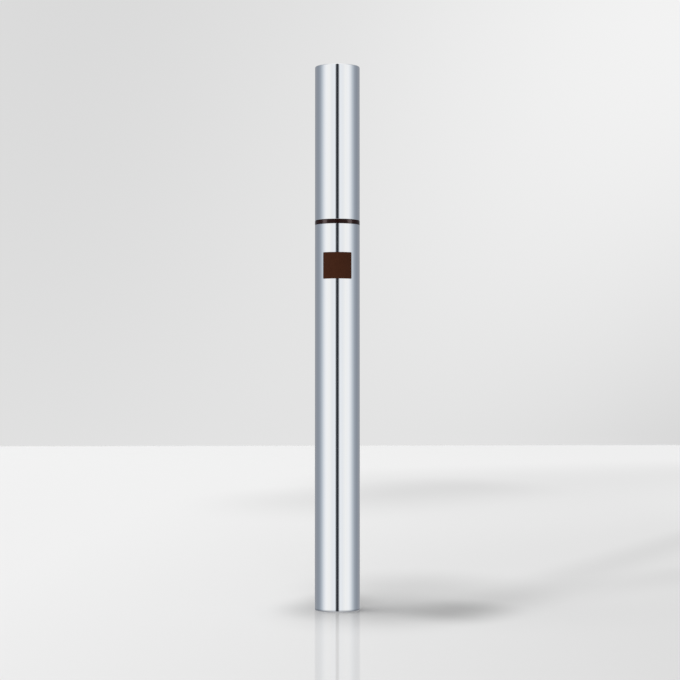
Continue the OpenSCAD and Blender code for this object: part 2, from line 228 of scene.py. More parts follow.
# Steps round the axis, the angle over which a groove's edge falls, the way that a rounding's shading is
# held straight beyond it as a share of the rounding, and the allowance when heights are compared
ROUND_STEPS = 192
EDGE_TURN = 0.004
HOLD = 0.3
HAIR = 0.000001


# ---- Shapes ----

def rounded(corners, loop=False, steps=6):
    """Half section through corners (radius, height, rounding), each corner cut by an arc of its rounding.

    The arc's middle lies on the line that halves the corner, rounding / sin(half angle) away, and its
    points turn evenly from one side to the other. One more point on each side, HOLD x rounding beyond
    the arc, keeps the shading of the long faces straight.
    """
    corners = np.array(corners)
    at, rounding = corners[:, :2], corners[:, 2:]
    ahead = np.roll(at, -1, 0) - at
    behind = np.roll(at, 1, 0) - at
    ahead /= np.linalg.norm(ahead, axis=1, keepdims=True)
    behind /= np.linalg.norm(behind, axis=1, keepdims=True)
    half = np.arccos(np.clip((ahead * behind).sum(1, keepdims=True), -1, 1)) / 2
    cut = rounding / np.tan(half)
    middle = ahead + behind
    middle *= rounding / np.sin(half) / np.maximum(np.linalg.norm(middle, axis=1, keepdims=True), 1e-12)
    turn = math.pi - 2 * half
    share = np.linspace(0, 1, steps + 1)[:, None, None]
    arc = np.sin((1 - share) * turn) * (behind * cut - middle) + np.sin(share * turn) * (ahead * cut - middle)
    arc = at + middle + arc / np.maximum(np.sin(turn), 1e-9)
    before = at + behind * (cut + HOLD * rounding)
    after = at + ahead * (cut + HOLD * rounding)
    line = np.concatenate([before[None], arc, after[None]]).transpose(1, 0, 2).reshape(-1, 2)
    apart = np.linalg.norm(line - np.roll(line, 1, 0), axis=1) > 1e-8
    apart[0] |= not loop
    return line[apart]


def around(steps=ROUND_STEPS, cuts=()):
    """Angles round the axis: even steps, and two close ones at each edge of the cuts (middles, half angle)."""
    angle = [np.linspace(0, 2 * math.pi, steps, endpoint=False)]
    for middles, half in cuts:
        edges = np.add.outer(np.asarray(middles), [-half, half]).ravel()
        angle += [edges - EDGE_TURN / 2, edges + EDGE_TURN / 2]
    return np.unique(np.round(np.concatenate(angle) % (2 * math.pi), 8))


def turn_to(angle, middles):
    """Angle from each angle to the nearest of the middles."""
    return np.abs((angle[:, None] - np.asarray(middles) + math.pi) % (2 * math.pi) - math.pi).min(axis=1)


def within(angle, middles, half):
    """1 within the half angle of any of the middles and 0 outside, with a steep straight edge between."""
    return np.clip((half - turn_to(angle, middles)) / EDGE_TURN + 0.5, 0, 1)


def fluted(angle, middles, r, flute_r):
    """Radius of a rod of radius r with round flutes along it.

    Where a ray at angle a from the flute's middle meets the flute, the radius is
    r cos a - sqrt(flute_r^2 - r^2 sin^2 a).
    """
    gap = turn_to(angle, middles)
    reach_in = flute_r ** 2 - (r * np.sin(gap)) ** 2
    inside = (reach_in > 0) & (gap < math.pi / 4)
    return np.where(inside, r * np.cos(gap) - np.sqrt(np.maximum(reach_in, 0)), r)


def turned(line, angle=None, r=None):
    """Points of a half section turned about the axis: (r, z) at angle a is (r cos a, r sin a, z).

    Where r is given, a row for each point of the line, it takes the place of the line's own radius.
    """
    angle = around() if angle is None else angle
    z = line[:, 1:]
    r = line[:, :1] if r is None else r
    return np.stack([r * np.cos(angle), r * np.sin(angle), z + 0 * angle], axis=-1)


def spaced(count):
    """Middles of a number of evenly spaced features, from the +X side on."""
    return np.arange(count) * 2 * math.pi / count


def piece(name, points, loop=False, crease=35):
    """A mesh of quads over a grid of points whose columns close on themselves, and rows too if loop.

    Rows that lie in one point become a pole, and edges sharper than crease degrees stay sharp.
    """
    rows, columns = points.shape[:2]
    index = np.arange(rows * columns).reshape(rows, columns)
    index = np.column_stack([index, index[:, 0]])
    if loop:
        index = np.vstack([index, index[:1]])
    quads = np.stack([index[:-1, :-1], index[:-1, 1:], index[1:, 1:], index[1:, :-1]], axis=-1).reshape(-1, 4)
    mesh = bpy.data.meshes.new(name)
    mesh.vertices.add(rows * columns)
    mesh.vertices.foreach_set("co", points.astype(np.float32).ravel())
    mesh.loops.add(quads.size)
    mesh.loops.foreach_set("vertex_index", quads.astype(np.int32).ravel())
    mesh.polygons.add(len(quads))
    mesh.polygons.foreach_set("loop_start", np.arange(0, quads.size, 4, dtype=np.int32))
    mesh.update(calc_edges=True)
    work = bmesh.new()
    work.from_mesh(mesh)
    bmesh.ops.remove_doubles(work, verts=work.verts, dist=1e-7)
    bmesh.ops.recalc_face_normals(work, faces=work.faces)
    work.to_mesh(mesh)
    work.free()
    mesh.polygons.foreach_set("use_smooth", np.ones(len(mesh.polygons), dtype=bool))
    mesh.set_sharp_from_angle(angle=math.radians(crease))
    made = bpy.data.objects.new(name, mesh)
    bpy.context.scene.collection.objects.link(made)
    return made


def shell_section(length):
    """Half section of a drawn cup with its closed end at height 0 and its open rim at height length."""
    bore = PEN_R - SHELL_WALL
    return rounded([(0, 0, 0), (PEN_R, 0, END_FILLET), (PEN_R, length, RIM_ROUND), (bore, length, FINE_ROUND),
                    (bore, SHELL_END, BORE_FILLET), (0, SHELL_END, 0)])


def ring_section():
    """Half section of the band between barrel and cap, with the lip that the front section clamps."""
    band = SEAT_R + PRESS_GAP
    lip = SPIGOT_R + PRESS_GAP
    return rounded([(lip, RING_FOOT, FINE_ROUND), (PEN_R, RING_FOOT, RING_EDGE), (PEN_R, RING_TOP, RING_EDGE),
                    (band, RING_TOP, FINE_ROUND), (band, SEAT_FOOT, FINE_ROUND),
                    (lip, SEAT_FOOT, FINE_ROUND)], loop=True)


def front_section():
    """Half section of spigot, seat with its snap bead, shoulder and nozzle, hollow inside."""
    bead = SEAT_R + SNAP_HEIGHT
    bore = NIB_R + SLIDE_GAP
    wide = HOLDER_R + PRESS_GAP
    return rounded([(SPIGOT_R, SPIGOT_FOOT, FINE_ROUND), (SPIGOT_R, SEAT_FOOT, FINE_ROUND),
                    (SEAT_R, SEAT_FOOT, FINE_ROUND), (SEAT_R, SNAP_FOOT, SOFT_ROUND),
                    (bead, SNAP_FOOT + SNAP_WIDTH / 4, SOFT_ROUND),
                    (bead, SNAP_FOOT + SNAP_WIDTH * 3 / 4, SOFT_ROUND),
                    (SEAT_R, SNAP_FOOT + SNAP_WIDTH, SOFT_ROUND), (SEAT_R, SEAT_TOP, SHOULDER_ROUND),
                    (NOZZLE_R, NOZZLE_FOOT, NOZZLE_ROUND), (MOUTH_R, MOUTH, MOUTH_ROUND),
                    (bore, MOUTH, SOFT_ROUND), (bore, MOUTH - MOUTH_WALL, 0), (wide, MOUTH - MOUTH_WALL, 0),
                    (wide, CHAMBER_TOP + CHAMBER_CONE, 0), (CHAMBER_R, CHAMBER_TOP, 0),
                    (CHAMBER_R, SPIGOT_FOOT, FINE_ROUND)], loop=True)


def tank_points():
    """Ink tank: a tube, wider at its mouth, with glue grooves round it and two air channels along it.

    The radius is the lesser of the section's and that of the channels' bottoms.
    """
    glue = [(BODY_R - GLUE_DEPTH, z + dz, FINE_ROUND) if deep else (BODY_R, z + dz, FINE_ROUND)
            for z in (TANK_FOOT + GLUE_INSET, TANK_FOOT + GLUE_INSET + GLUE_PITCH,
                      RING_FOOT - GLUE_INSET - GLUE_WIDTH - GLUE_PITCH, RING_FOOT - GLUE_INSET - GLUE_WIDTH)
            for dz, deep in ((0, False), (0, True), (GLUE_WIDTH, True), (GLUE_WIDTH, False))]
    line = rounded([(TANK_BORE_R, TANK_FOOT, FINE_ROUND), (BODY_R, TANK_FOOT, BROAD_ROUND), *glue,
                    (BODY_R, RING_FOOT, BROAD_ROUND), (TANK_MOUTH_R, RING_FOOT, FINE_ROUND),
                    (TANK_MOUTH_R, COLLECTOR_FOOT, 0), (TANK_BORE_R, COLLECTOR_FOOT, FINE_ROUND)],
                   loop=True, steps=3)
    half = CHANNEL_WIDTH / 2 / BODY_R
    angle = around(cuts=[(spaced(2), half)])
    bottom = BODY_R - CHANNEL_DEPTH * within(angle, spaced(2), half)
    return turned(line, angle, np.minimum(line[:, :1], bottom))


def plug_section():
    """Half section of the tail plug: flange, two sealing beads with sloping sides, hollow from below."""
    bead_r = TANK_BORE_R - PRESS_GAP
    r = bead_r - PLUG_BEAD
    edge = BORE_FILLET + PRESS_GAP
    beads = [(radius, z + dz, FINE_ROUND) for z in (TANK_FOOT + PLUG_BEAD_WIDTH, PLUG_TOP - 3 * PLUG_BEAD_WIDTH)
             for radius, dz in ((r, 0), (bead_r, PLUG_BEAD), (bead_r, PLUG_BEAD_WIDTH - PLUG_BEAD),
                                (r, PLUG_BEAD_WIDTH))]
    return rounded([(0, PLUG_TOP - PLUG_ROOF, 0), (r - PLUG_WALL, PLUG_TOP - PLUG_ROOF, HOLLOW_ROUND),
                    (r - PLUG_WALL, PLUG_FOOT, FINE_ROUND), (BODY_R, PLUG_FOOT, edge),
                    (BODY_R, TANK_FOOT, FINE_ROUND), (r, TANK_FOOT, FINE_ROUND), *beads,
                    (r, PLUG_TOP, PLUG_BEAD), (0, PLUG_TOP, 0)])


def ball_points(side):
    """Mixing ball, beside the axis: a half circle from pole to pole turned about its own upright line."""
    turn = np.linspace(-math.pi / 2, math.pi / 2, 49)
    line = BALL_R * np.column_stack([np.cos(turn), np.sin(turn)])
    line[[0, -1], 0] = 0
    return turned(line, around(96)) + (side * BALL_SIDE, 0, BALL_HEIGHT)


def collector_points():
    """Collector: collar, sealing land, stem with its comb of fins, and a fluted neck round the core's bore.

    The radius is the least of the section's, on the comb that of the bottoms of the ink slit at +X and of
    the air slot at -X, and on the neck that of the flutes. The slit stops a hair short of the bore.
    """
    bore = CORE_R + PRESS_GAP
    land_top = SPIGOT_FOOT + LAND_HEIGHT
    neck_foot = NECK_TOP - NECK_LENGTH
    comb_foot = land_top + FIN_PITCH - FIN_WIDTH
    fins = int((min(neck_foot, CHAMBER_TOP) - comb_foot) / FIN_PITCH)
    comb = [(r, comb_foot + FIN_PITCH * i + dz, FINE_ROUND / 2) for i in range(fins)
            for r, dz in ((STEM_R, 0), (FIN_R, 0), (FIN_R, FIN_WIDTH), (STEM_R, FIN_WIDTH))]
    slit_top = comb_foot + FIN_PITCH * fins
    line = rounded([(bore, COLLECTOR_FOOT, 0), (SPIGOT_R, COLLECTOR_FOOT, FINE_ROUND / 2),
                    (SPIGOT_R, SPIGOT_FOOT, FINE_ROUND / 2), (CHAMBER_R - PRESS_GAP, SPIGOT_FOOT, 0),
                    (CHAMBER_R - PRESS_GAP, land_top, FINE_ROUND / 2), (STEM_R, land_top, 0), *comb,
                    (STEM_R, slit_top, 0), (STEM_R, neck_foot, 0), (HOLDER_R, neck_foot, FINE_ROUND / 2),
                    (HOLDER_R, NECK_TOP, FINE_ROUND / 2), (bore, NECK_TOP, 0)], loop=True, steps=1)
    slit = FEED_WIDTH / 2 / STEM_R
    vent = VENT_WIDTH / (STEM_R + FIN_R)
    flute = 2 * math.asin(FLUTE_R / HOLDER_R / 2)
    angle = around(96, [([0], slit), ([math.pi], vent), (spaced(FLUTES), flute)])
    r, z = line[:, :1], line[:, 1:]
    cut = np.where(within(angle, [0], slit) > 0, bore + PRESS_GAP, 1.0)
    cut = np.minimum(cut, np.where(within(angle, [math.pi], vent) > 0.5, STEM_R - VENT_CUT, 1.0))
    r = np.where((z > land_top + HAIR) & (z < slit_top + HAIR), np.minimum(r, cut), r)
    rod = fluted(angle, spaced(FLUTES), HOLDER_R, FLUTE_R)
    return turned(line, angle, np.where(z > neck_foot - HAIR, np.minimum(r, rod), r))


def holder_points():
    """Nib holder: a bush bored for the core below and the nib above, with round flutes along it."""
    core, nib = CORE_R + PRESS_GAP, NIB_R + PRESS_GAP
    line = rounded([(core, HOLDER_FOOT, FINE_ROUND), (HOLDER_R, HOLDER_FOOT, FINE_ROUND),
                    (HOLDER_R, HOLDER_TOP, FINE_ROUND), (nib, HOLDER_TOP, FINE_ROUND), (nib, NIB_FOOT, 0),
                    (core, NIB_FOOT, 0)], loop=True, steps=3)
    angle = around(96, [(spaced(FLUTES), 2 * math.asin(FLUTE_R / HOLDER_R / 2))])
    rod = fluted(angle, spaced(FLUTES), HOLDER_R, FLUTE_R)
    return turned(line, angle, np.minimum(line[:, :1], rod))


def core_section():
    """Half section of the porous rod from the ink to the back of the nib."""
    return rounded([(0, CORE_FOOT, 0), (CORE_R, CORE_FOOT, SOFT_ROUND), (CORE_R, NIB_FOOT, FINE_ROUND),
                    (0, NIB_FOOT, 0)])


def liner_points():
    """Cap liner: wide bore with a snap groove and air grooves, cone, guide bore with the keeper bead, roof
    with the spring's peg, and ribs outside.

    The radius is the greater of the section's and, in the wide bore, that of the air grooves' bottoms, or,
    outside above the guide bore's foot, that of the ribs' tops.
    """
    keeper_r = CUP_R + SLIDE_GAP
    slope = GUIDE_R - keeper_r
    edge = BORE_FILLET + PRESS_GAP
    deep = LINER_BORE_R + GROOVE_DEPTH
    line = rounded([(BODY_R, LINER_FOOT, SOFT_ROUND), (BODY_R, GUIDE_FOOT, FINE_ROUND),
                    (NARROW_R, GUIDE_FOOT + RIB_HEIGHT, BROAD_ROUND), (NARROW_R, ROOF, BROAD_ROUND),
                    (BODY_R, ROOF + RIB_HEIGHT, FINE_ROUND), (BODY_R, LINER_TOP, edge), (0, LINER_TOP, 0),
                    (0, ROOF - PEG_HEIGHT, 0), (TUBE_R, ROOF - PEG_HEIGHT, SOFT_ROUND), (TUBE_R, ROOF, 0),
                    (GUIDE_R, ROOF, 0), (GUIDE_R, KEEPER_FOOT + KEEPER_HEIGHT, 0),
                    (keeper_r, KEEPER_FOOT + KEEPER_HEIGHT, FINE_ROUND),
                    (keeper_r, KEEPER_FOOT + slope, FINE_ROUND), (GUIDE_R, KEEPER_FOOT, FINE_ROUND),
                    (GUIDE_R, GUIDE_FOOT, BROAD_ROUND), (LINER_BORE_R, WIDE_TOP + GROOVE_END, 0),
                    (LINER_BORE_R, WIDE_TOP, 0),
                    (LINER_BORE_R, GROOVE_FOOT + 2 * SNAP_WIDTH, FINE_ROUND),
                    (deep, GROOVE_FOOT + 1.5 * SNAP_WIDTH, FINE_ROUND),
                    (deep, GROOVE_FOOT + 0.5 * SNAP_WIDTH, FINE_ROUND),
                    (LINER_BORE_R, GROOVE_FOOT, FINE_ROUND), (LINER_BORE_R, LINER_FOOT, SOFT_ROUND)],
                   loop=True, steps=4)
    ribs = spaced(RIBS), RIB_WIDTH / 2 / BODY_R
    vents = spaced(VENTS), LINER_VENT_WIDTH / 2 / LINER_BORE_R
    angle = around(cuts=[ribs, vents])
    r, z = line[:, :1], line[:, 1:]
    outer = (r > (NARROW_R + LINER_BORE_R) / 2) & (z > GUIDE_FOOT - HAIR)
    r = np.where(outer & (z < ROOF + RIB_HEIGHT), np.maximum(r, BODY_R * within(angle, *ribs)), r)
    bore = (r < (BODY_R + LINER_BORE_R) / 2) & (z < WIDE_TOP + HAIR)
    vent_r = (LINER_BORE_R + LINER_VENT_DEPTH) * within(angle, *vents)
    return turned(line, angle, np.where(bore, np.maximum(r, vent_r), r))


def cup_section():
    """Half section of the inner cap: sealing cone, flange, spring shoulder and closed tube round the nib."""
    lip_r = CUP_R - LIP_WALL
    seal_top = LIP + SEAL_HEIGHT
    relief_r = NOZZLE_R - CONE_DROP * (seal_top - NOZZLE_FOOT) + SEAL_GAP
    room = MOUTH + CUP_ROOM
    flange_top = FLANGE_FOOT + FLANGE_HEIGHT
    return rounded([(0, TUBE_TOP - TUBE_ROOF, 0), (TUBE_BORE_R, TUBE_TOP - TUBE_ROOF, HOLLOW_ROUND),
                    (TUBE_BORE_R, room, SOFT_ROUND), (relief_r, room, BROAD_ROUND), (relief_r, seal_top, 0),
                    (lip_r, LIP, SOFT_ROUND), (CUP_R, LIP, SOFT_ROUND), (CUP_R, FLANGE_FOOT, 0),
                    (CUP_R + FLANGE_STEP, FLANGE_FOOT, FINE_ROUND),
                    (CUP_R + FLANGE_STEP, flange_top, FINE_ROUND), (CUP_R, flange_top, 0),
                    (CUP_R, room + CUP_SHOULDER, SOFT_ROUND), (TUBE_R, room + CUP_SHOULDER, 0),
                    (TUBE_R, TUBE_TOP, BROAD_ROUND), (0, TUBE_TOP, 0)])


def nib_section():
    """Half section of the fibre tip: the radius falls with power NIB_TAPER of the height, to a round tip
    whose first row is a little up, clear of the taper's last.
    """
    share = np.linspace(0, 1, 48)
    point = NIB_TIP - NIB_POINT
    taper = np.column_stack([NIB_R + (NIB_TIP_R - NIB_R) * share ** NIB_TAPER,
                             point + share * (NIB_POINT - NIB_TIP_R)])
    turn = np.linspace(0.1, math.pi / 2, 8)
    tip = np.column_stack([NIB_TIP_R * np.cos(turn), NIB_TIP - NIB_TIP_R + NIB_TIP_R * np.sin(turn)])
    rod = rounded([(0, NIB_FOOT, 0), (NIB_R, NIB_FOOT, SOFT_ROUND), (NIB_R, point, 0)])[:-1]
    return np.concatenate([rod, taper, tip])


def label_points():
    """Film on the barrel: a rounded rectangle wrapped round the front, with a soft edge and a flat back.

    Along each of its rays the share of the way to the outline runs out over the front face, turns down
    at the edge and comes back over the back. For the outline, each point of a circle of LABEL_CIRCLE
    times the longer half side is held to a rectangle smaller by the corners' rounding, and then goes out
    by that rounding. A width w on the film is the angle w / radius on the barrel.
    """
    low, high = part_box("shade_label")
    half = np.array([LABEL_WIDTH, high.z - low.z]) / 2
    angle = np.linspace(0, 2 * math.pi, 160, endpoint=False)
    way = np.stack([np.cos(angle), np.sin(angle)], axis=-1)
    inner = half - LABEL_CORNER
    circle = way * LABEL_CIRCLE * half.max()
    outline = np.clip(circle, -inner, inner)
    rest = circle - outline
    outline = outline + LABEL_CORNER * rest / np.maximum(np.linalg.norm(rest, axis=1, keepdims=True), 1e-12)
    face_rows, back_rows = 9, 5
    behind, drawn_in = LABEL_THICKNESS * np.array(LABEL_EDGE).T
    out = np.concatenate([np.linspace(0, 1, face_rows + 1)[:-1], [1] * len(LABEL_EDGE),
                          np.linspace(1, 0, back_rows + 1)[1:]])
    behind = np.concatenate([np.zeros(face_rows), behind, np.full(back_rows, LABEL_THICKNESS)])
    drawn_in = np.concatenate([np.zeros(face_rows), drawn_in, np.zeros(back_rows)])
    flat = outline[None] * out[:, None, None] - way[None] * drawn_in[:, None, None]
    r = (PEN_R + LABEL_THICKNESS - behind)[:, None]
    turn = flat[..., 0] / PEN_R
    return np.stack([r * np.sin(turn), -r * np.cos(turn), flat[..., 1] + (low.z + high.z) / 2], axis=-1)


def spring_points(sides=14, turn_steps=40):
    """Wire wound on a helix: its middle climbs evenly, and its round section stands square to it.

    The last rows of each end draw in to the middle of the wire, which closes it.
    """
    rows = SPRING_TURNS * turn_steps
    low, high = SPRING_FOOT + WIRE_R, SPRING_TOP - WIRE_R
    share = np.concatenate([[0, 0, 0], np.arange(1, rows) / rows, [1, 1, 1]])
    wire = np.concatenate([[0, 0.75, 1], np.ones(rows - 1), [1, 0.75, 0]]) * WIRE_R
    angle = 2 * math.pi * SPRING_TURNS * share
    out = np.column_stack([np.cos(angle), np.sin(angle), 0 * angle])
    middle = SPRING_R * out + np.column_stack([0 * angle, 0 * angle, low + (high - low) * share])
    climb = (high - low) / SPRING_TURNS / (2 * math.pi * SPRING_R)
    along = np.column_stack([-np.sin(angle), np.cos(angle), climb + 0 * angle])
    up = np.cross(along, out) / math.hypot(1, climb)
    side = np.linspace(0, 2 * math.pi, sides, endpoint=False)
    return middle[:, None] + wire[:, None, None] * (
        np.cos(side)[None, :, None] * out[:, None] + np.sin(side)[None, :, None] * up[:, None])


# ---- Material nodes ----

def add(tree, kind, inputs=None, **settings):
    """One node, with its settings and with numbers, colours or links on its inputs."""
    made = tree.nodes.new(kind)
    for key, value in settings.items():
        setattr(made, key, value)
    for key, value in (inputs or {}).items():
        if isinstance(value, bpy.types.NodeSocket):
            tree.links.new(value, made.inputs[key])
        else:
            made.inputs[key].default_value = value
    return made


def calc(tree, operation, *values):
    """One sum of numbers or links."""
    return add(tree, "ShaderNodeMath", dict(enumerate(values)), operation=operation).outputs[0]


def vector(tree, operation, *values):
    """One sum of vectors, numbers or links."""
    return add(tree, "ShaderNodeVectorMath", dict(enumerate(values)), operation=operation)


def spread(tree, value, low, high, to_low=0.0, to_high=1.0, smooth=True):
    """A value between low and high carried over to to_low and to_high, and held beyond them."""
    return add(tree, "ShaderNodeMapRange", {0: value, 1: low, 2: high, 3: to_low, 4: to_high},
               interpolation_type="SMOOTHSTEP" if smooth else "LINEAR").outputs[0]


def vary(tree, noise, low=0.0, high=1.0):
    """A noise's usual range carried over to low and high."""
    return spread(tree, noise, 0.3, 0.7, low, high)


def blend(tree, share, first, second):
    """One colour turning into another."""
    made = add(tree, "ShaderNodeMix", {0: share, 6: first, 7: second}, data_type="RGBA")
    return made.outputs[2]


def toned(tree, noise, tones):
    """A noise's usual range carried over to two tones."""
    return blend(tree, vary(tree, noise), *tones)


def ramp(tree, value, stops, whole=1.0):
    """A colour that follows a value through stops of (place, colour), places being shares of whole."""
    made = add(tree, "ShaderNodeValToRGB", {0: value})
    made.color_ramp.interpolation = "LINEAR"
    while len(made.color_ramp.elements) < len(stops):
        made.color_ramp.elements.new(0.5)
    for element, (place, colour) in zip(made.color_ramp.elements, stops):
        element.position = place / whole
        element.color = (*colour, 1)
    return made.outputs[0]


def grain(tree, scale, stretch=(1, 1, 1), detail=2.0, rough=0.5):
    """Noise on the object's own coordinates, drawn out by stretch, with scale cells a metre."""
    place = add(tree, "ShaderNodeTexCoord").outputs["Object"]
    drawn = add(tree, "ShaderNodeMapping", {"Vector": place, "Scale": stretch}).outputs[0]
    return add(tree, "ShaderNodeTexNoise", {"Vector": drawn, "Scale": scale, "Detail": detail,
                                            "Roughness": rough}).outputs["Fac"]


def height(tree):
    """Height above the foot of the pen."""
    place = add(tree, "ShaderNodeTexCoord").outputs["Object"]
    return add(tree, "ShaderNodeSeparateXYZ", {0: place}).outputs["Z"]


def near(tree, value, places, width):
    """1 at each of the places and 0 from width away."""
    gaps = [calc(tree, "ABSOLUTE", calc(tree, "SUBTRACT", value, place)) for place in places]
    least = gaps[0]
    for gap in gaps[1:]:
        least = calc(tree, "MINIMUM", least, gap)
    return spread(tree, least, 0.0, width, 1.0, 0.0)


def finish(name, **sockets):
    """A material with one Principled shader, whose constant sockets are set here."""
    made = bpy.data.materials.new(name)
    made.use_nodes = True
    tree = made.node_tree
    shader = tree.nodes["Principled BSDF"]
    for key, value in sockets.items():
        shader.inputs[key.replace("_", " ").title().replace("Ior", "IOR")].default_value = value
    return made, tree, shader


def surface(tree, shader, colour, roughness, relief, depth):
    """Links a colour, a roughness and a relief of that depth to the shader."""
    tree.links.new(colour, shader.inputs["Base Color"])
    tree.links.new(roughness, shader.inputs["Roughness"])
    bump = add(tree, "ShaderNodeBump", {"Height": relief, "Distance": depth})
    tree.links.new(bump.outputs["Normal"], shader.inputs["Normal"])


# ---- Materials ----

# Two tones of each finish, what wear, ink or drying turns it into, and the painted shade that darkens the
# metal's foot
METAL_TONES = (0.838, 0.846, 0.872, 1), (0.862, 0.868, 0.888, 1)
METAL_RUBBED = (0.93, 0.93, 0.93, 1)
METAL_FOOT_SHADE = (0.52, 0.53, 0.55, 1)
FILM_TONES = (0.0550, 0.0170, 0.0072, 1), (0.0600, 0.0186, 0.0080, 1)
BAND_TONES = (0.0080, 0.0022, 0.0018, 1), (0.0105, 0.0030, 0.0024, 1)
BAND_GLOSS = (1.0, 0.80, 0.79, 1)
BLACK_TONES = (0.0105, 0.0088, 0.0085, 1), (0.0160, 0.0130, 0.0120, 1)
BLACK_RUBBED = (0.030, 0.027, 0.025, 1)
MILKY_TONES = (0.74, 0.72, 0.66, 1), (0.81, 0.79, 0.74, 1)
CLEAR_TONE = (0.78, 0.82, 0.85, 1)
CLEAR_INKED = (0.24, 0.17, 0.14, 1)
WHITE_TONES = (0.84, 0.84, 0.81, 1), (0.89, 0.89, 0.87, 1)
WHITE_INKED = (0.16, 0.10, 0.08, 1)
FIBRE_TONES = (0.012, 0.006, 0.004, 1), (0.040, 0.021, 0.014, 1)
FIBRE_DRY = (0.07, 0.04, 0.03, 1)
BALL_TONES = (0.56, 0.57, 0.58, 1), (0.66, 0.67, 0.69, 1)
WIRE_TONES = (0.48, 0.49, 0.51, 1), (0.60, 0.61, 0.63, 1)

# Height over which the metal's rims are rubbed and how far in from its wall they reach, the height of the
# painted shade round the barrel's foot, a dark band in place of its contact shadow, and the way to its
# edges, the way over which the black moulding is rubbed, and the heights between which the ink's stain on
# the tank ends
RUB_HEIGHT = 0.00022
RIM_REACH = (0.0007, 0.0002)
FOOT_SHADE_HEIGHT = 0.00027
FOOT_SHADE_REACH = 0.0004
BLACK_REACH = 0.0006
INK_LEVEL = (0.035, 0.050)


def satin_metal():
    """Anodised aluminium: clear satin reflections, a fine drawn grain along the pen, rubbed rims.

    On the closed ends the grain runs round the axis, as turning leaves it: noise on the radius alone. The
    rounded foot, on which the pen stands, is darkened by painted shade that stands in for its contact shadow.
    """
    made, tree, shader = finish("satin_metal", metallic=1.0)
    place = add(tree, "ShaderNodeTexCoord").outputs["Object"]
    level = vector(tree, "MULTIPLY", place, (1, 1, 0)).outputs[0]
    radius = vector(tree, "LENGTH", level).outputs["Value"]
    turning = add(tree, "ShaderNodeTexNoise", {"W": radius, "Scale": 4200, "Detail": 3.0},
                  noise_dimensions="1D")
    facing = add(tree, "ShaderNodeSeparateXYZ", {0: add(tree, "ShaderNodeNewGeometry").outputs["Normal"]})
    end = spread(tree, calc(tree, "ABSOLUTE", facing.outputs["Z"]), 0.90, 0.99)

    def by_face(along):
        """The drawn grain on the walls and the turned grain on the ends."""
        return add(tree, "ShaderNodeMix", {0: end, 2: along, 3: turning.outputs["Fac"]}).outputs[0]

    drawn = by_face(grain(tree, 5200, (1, 1, 0.0012), 2.0))
    bands = by_face(grain(tree, 900, (1, 1, 0.002), 2.0))
    cloud = grain(tree, 160, (1, 1, 0.5), 3.0)
    edge = spread(tree, radius, *(PEN_R - reach_in for reach_in in RIM_REACH))
    rims = near(tree, height(tree), (0.0, RING_FOOT, CAP_RIM, PEN_TOP), RUB_HEIGHT)
    rims = calc(tree, "MULTIPLY", rims, edge)
    rubbed = calc(tree, "MULTIPLY", rims, spread(tree, grain(tree, 2600, detail=3.0), 0.45, 0.62))
    tone = calc(tree, "ADD", calc(tree, "MULTIPLY", drawn, 0.4), calc(tree, "MULTIPLY", bands, 0.6))
    metal = toned(tree, tone, METAL_TONES)
    metal = blend(tree, rubbed, metal, METAL_RUBBED)
    # Painted shade: a dark band round the barrel's foot stands in for its contact shadow
    foot_shade = calc(tree, "MULTIPLY", near(tree, height(tree), (FOOT_SHADE_HEIGHT,), FOOT_SHADE_REACH), edge)
    metal = blend(tree, foot_shade, metal, METAL_FOOT_SHADE)
    satin = vary(tree, cloud, 0.045, 0.060)
    satin = calc(tree, "ADD", satin, calc(tree, "MULTIPLY", drawn, 0.01))
    satin = calc(tree, "ADD", satin, calc(tree, "MULTIPLY", rubbed, 0.14))
    surface(tree, shader, metal, satin, drawn, 0.00000002)
    return made


def shade_film():
    """Matt brown film, printed evenly, with a fine tooth."""
    made, tree, shader = finish("shade_film", specular_ior_level=0.12)
    tooth = grain(tree, 9000, detail=2.0)
    ink = toned(tree, grain(tree, 1400, detail=3.0), FILM_TONES)
    surface(tree, shader, ink, vary(tree, tooth, 0.72, 0.86), tooth, 0.000003)
    return made


def shade_plastic():
    """Glossy dark brown moulding with faint flow marks round it."""
    made, tree, shader = finish("shade_plastic", specular_ior_level=0.14, specular_tint=BAND_GLOSS)
    flow = grain(tree, 1500, (1, 1, 3), 2.0)
    brown = toned(tree, flow, BAND_TONES)
    surface(tree, shader, brown, vary(tree, flow, 0.17, 0.22), flow, 0.000001)
    return made


def black_plastic():
    """Moulded black, half gloss on the nozzle, with the fine spark texture that a mould leaves."""
    made, tree, shader = finish("black_plastic", specular_ior_level=0.24)
    spark = grain(tree, 7000, detail=3.0, rough=0.6)
    worn = near(tree, height(tree), (SEAT_TOP, SNAP_FOOT + SNAP_WIDTH / 2, MOUTH), BLACK_REACH)
    rubbed = calc(tree, "MULTIPLY", worn, spread(tree, grain(tree, 1200, detail=3.0), 0.4, 0.65))
    black = toned(tree, grain(tree, 500, detail=3.0), BLACK_TONES)
    black = blend(tree, rubbed, black, BLACK_RUBBED)
    gloss = calc(tree, "SUBTRACT", vary(tree, spark, 0.17, 0.25), calc(tree, "MULTIPLY", rubbed, 0.07))
    surface(tree, shader, black, gloss, spark, 0.000002)
    return made


def natural_plastic():
    """Uncoloured moulding, milky, with slow flow marks."""
    made, tree, shader = finish("natural_plastic")
    flow = grain(tree, 260, (1, 1, 0.4), 3.0)
    milk = toned(tree, flow, MILKY_TONES)
    surface(tree, shader, milk, vary(tree, grain(tree, 3000), 0.34, 0.46), flow, 0.00001)
    return made


def clear_plastic():
    """Translucent tank moulding, tinted low down by the ink that wets it."""
    made, tree, shader = finish("clear_plastic", transmission_weight=0.7, ior=1.5)
    wet = spread(tree, calc(tree, "ADD", height(tree), calc(tree, "MULTIPLY", grain(tree, 300), 0.02)),
                 *INK_LEVEL, 1.0, 0.0)
    tint = blend(tree, wet, CLEAR_TONE, CLEAR_INKED)
    surface(tree, shader, tint, vary(tree, grain(tree, 1800), 0.22, 0.34), grain(tree, 420), 0.000004)
    return made


